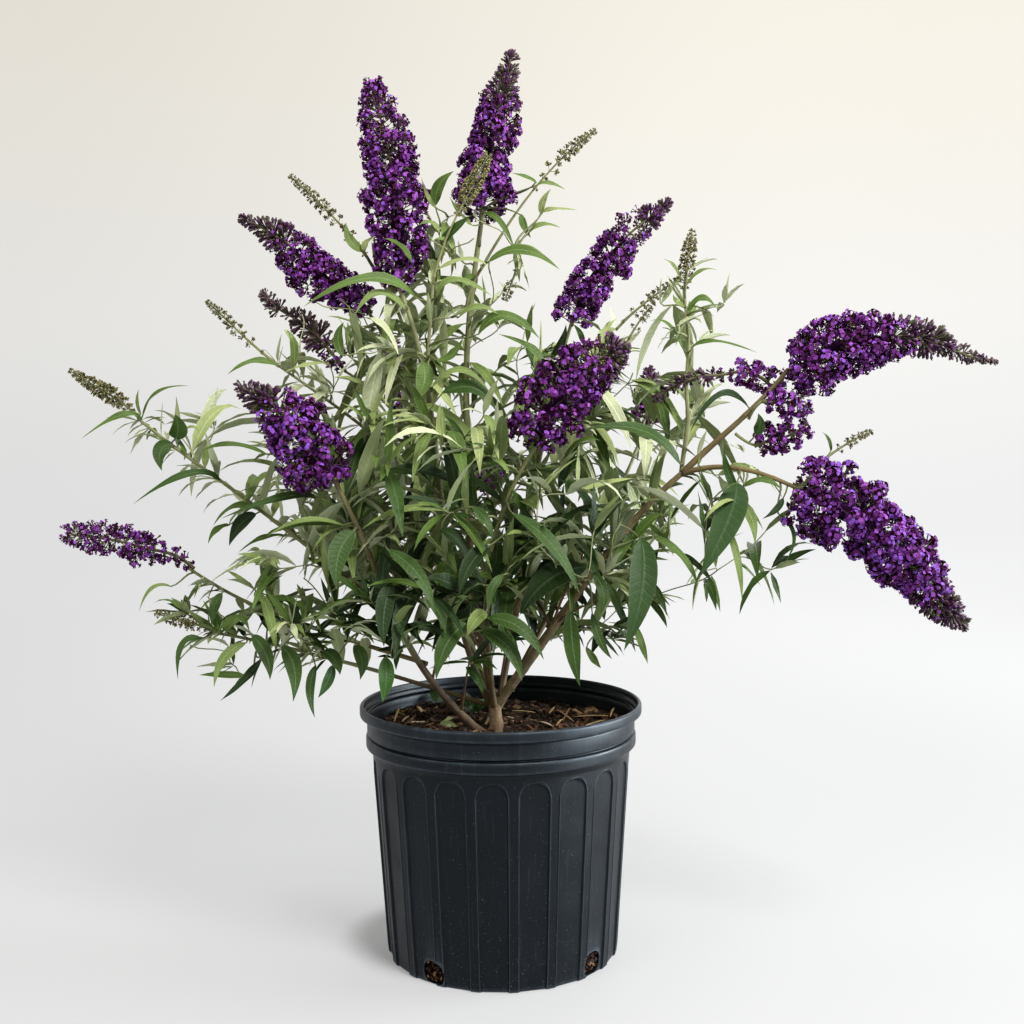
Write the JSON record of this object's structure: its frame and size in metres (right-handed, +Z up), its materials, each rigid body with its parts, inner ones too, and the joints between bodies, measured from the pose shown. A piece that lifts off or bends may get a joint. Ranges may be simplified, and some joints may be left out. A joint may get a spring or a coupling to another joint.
{
  "type": "potted butterfly bush",
  "caption": "Flowering butterfly bush with arching stems, narrow grey-green leaves and long purple flower heads, growing in a round fluted nursery pot.",
  "frame": {"origin": "centre of the pot's flat underside", "axes": "+Z up along the pot's axis; +Y points away from the viewer of the front, +X to that viewer's right"},
  "size_m": [0.8974, 0.5342, 0.8927],
  "materials": {
    "pot_plastic": "satin black moulded plastic",
    "growing_mix": "coarse dark bark mix",
    "bark": "ridged tan bark",
    "stem": "smooth grey-green to brown shoots",
    "leaves": "matt grey-green leaf with a pale felted underside",
    "blossom": "matt purple petals",
    "buds": "olive closed buds"
  },
  "bodies": {
    "root": {"pot": "pot_plastic", "trunk": "bark", "bough_right": "bark", "bough_right_upper": "bark", "bough_right_lower": "bark", "bough_right_spire": "bark", "stem_left": "stem", "stem_low_left": "stem", "stem_left_outer": "stem", "stem_far_left": "stem", "stem_centre_left": "stem", "stem_centre": "stem", "stem_centre_right": "stem", "stem_right_back": "stem", "stem_back_left": "stem", "stem_back_right": "stem", "soil": "growing_mix", "panicle_top_left": "blossom", "panicle_top_centre": "blossom", "panicle_upper_left": "blossom", "panicle_left_faded": "blossom", "panicle_left_middle": "blossom", "panicle_upper_right": "blossom", "panicle_right_middle": "blossom", "panicle_right_upper": "blossom", "panicle_right_side": "blossom", "panicle_right_fork": "blossom", "panicle_right_small": "blossom", "panicle_right_lower": "blossom", "panicle_low_left": "blossom", "panicle_back_left": "blossom", "panicle_back_right": "blossom", "panicle_back_centre": "blossom", "bud_spike_upper_left": "buds", "bud_spike_left": "buds", "bud_spike_far_left": "buds", "bud_spike_low_left": "buds", "bud_spike_centre": "buds", "bud_spike_upper_right": "buds", "bud_spike_right": "buds", "foliage_top": "leaves", "foliage_upper_centre": "leaves", "foliage_upper_left": "leaves", "foliage_upper_right": "leaves", "foliage_right_spire": "leaves", "foliage_far_left": "leaves", "foliage_left": "leaves", "foliage_left_front": "leaves", "foliage_centre_front": "leaves", "foliage_right_front": "leaves", "foliage_right": "leaves", "foliage_right_outer": "leaves", "foliage_left_low": "leaves", "foliage_low_left": "leaves", "foliage_low_front": "leaves", "foliage_low_right": "leaves", "foliage_back": "leaves", "foliage_back_left": "leaves", "foliage_back_right": "leaves", "foliage_back_low": "leaves"}
  },
  "joints": []
}
